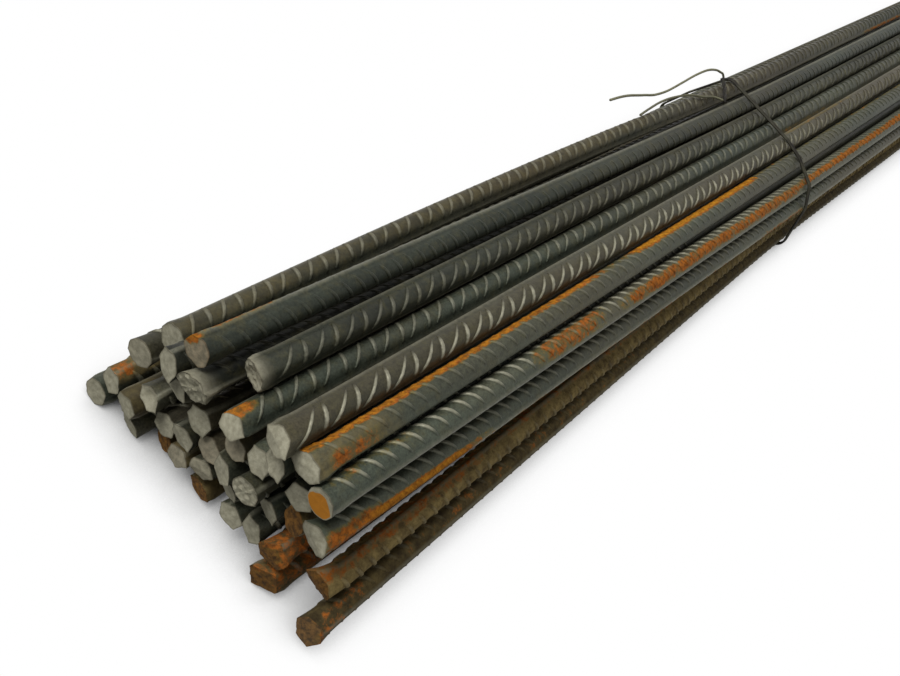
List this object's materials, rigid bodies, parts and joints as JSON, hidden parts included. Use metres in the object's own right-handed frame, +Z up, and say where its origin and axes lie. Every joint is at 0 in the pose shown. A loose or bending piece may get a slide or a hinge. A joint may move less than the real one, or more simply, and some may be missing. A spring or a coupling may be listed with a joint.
{
  "type": "rebar bundle",
  "caption": "Bundle of straight ribbed steel reinforcing bars, sheared to length, lying together and held by twisted wire ties.",
  "frame": {"origin": "middle of the bundle's base, at floor level", "axes": "+X runs along the bars, from the splayed near ends to the far ends, and +Z is up"},
  "size_m": [2.0004, 0.1474, 0.0906],
  "materials": {
    "steel_bar": "hot-rolled steel in olive-grey mill scale, worn brighter on the rib crests, with streaks of orange and brown rust",
    "tie_wire": "dull black annealed wire"
  },
  "bodies": {
    "root": {"bar_floor_1": "steel_bar", "bar_floor_2": "steel_bar", "bar_floor_3": "steel_bar", "bar_floor_4": "steel_bar", "bar_floor_5": "steel_bar", "bar_floor_6": "steel_bar", "bar_floor_7": "steel_bar", "bar_floor_8": "steel_bar", "bar_second_1": "steel_bar", "bar_second_2": "steel_bar", "bar_second_3": "steel_bar", "bar_second_4": "steel_bar", "bar_second_5": "steel_bar", "bar_second_6": "steel_bar", "bar_second_7": "steel_bar", "bar_second_8": "steel_bar", "bar_third_1": "steel_bar", "bar_third_2": "steel_bar", "bar_third_3": "steel_bar", "bar_third_4": "steel_bar", "bar_third_5": "steel_bar", "bar_third_6": "steel_bar", "bar_fourth_1": "steel_bar", "bar_fourth_2": "steel_bar", "bar_fourth_3": "steel_bar", "bar_fourth_4": "steel_bar", "bar_fourth_5": "steel_bar", "bar_fourth_6": "steel_bar", "bar_fourth_7": "steel_bar", "bar_upper_1": "steel_bar", "bar_upper_2": "steel_bar", "bar_upper_3": "steel_bar", "bar_upper_4": "steel_bar", "bar_upper_5": "steel_bar", "bar_upper_6": "steel_bar", "bar_upper_7": "steel_bar", "bar_top_1": "steel_bar", "bar_top_2": "steel_bar", "bar_top_3": "steel_bar", "bar_top_4": "steel_bar", "tie_near": "tie_wire", "tie_far": "tie_wire"}
  },
  "joints": []
}
